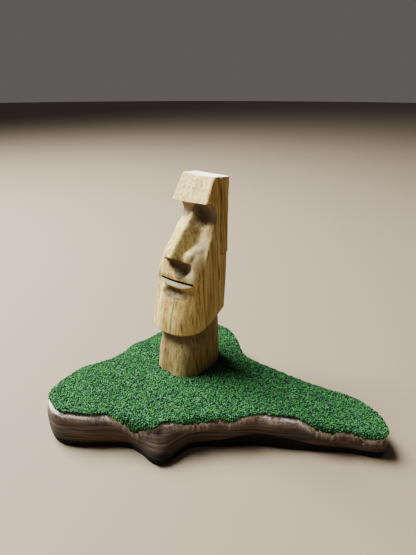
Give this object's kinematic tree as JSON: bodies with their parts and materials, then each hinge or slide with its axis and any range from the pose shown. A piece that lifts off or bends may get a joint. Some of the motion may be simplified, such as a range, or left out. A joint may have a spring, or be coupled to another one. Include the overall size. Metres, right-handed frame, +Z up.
{
  "type": "carved wooden moai statuette on an island base",
  "caption": "Hand-carved wooden moai head on a neck, standing on an island-shaped walnut slab covered with model turf",
  "frame": {"origin": "centre of the bounding box in plan, on the underside that stands on a table", "axes": "+X along the island's long side, to the right of a viewer in front, +Y away from that viewer, +Z up; the figure looks towards the front left"},
  "size_m": [0.156, 0.0926, 0.1134],
  "materials": {
    "carved_wood": "pale straight-grained wood, cut with knives and lightly sanded, bare or thinly oiled",
    "walnut": "dark walnut with grain along its length, shaped like a worn shore, blackened in the low recess",
    "turf": "glued-on green foam turf crumbs, matt, mixed dark and light green with yellow specks"
  },
  "bodies": {
    "root": {"moai_figure": "carved_wood", "island_slab": "walnut", "turf_cover": "turf"}
  },
  "joints": []
}
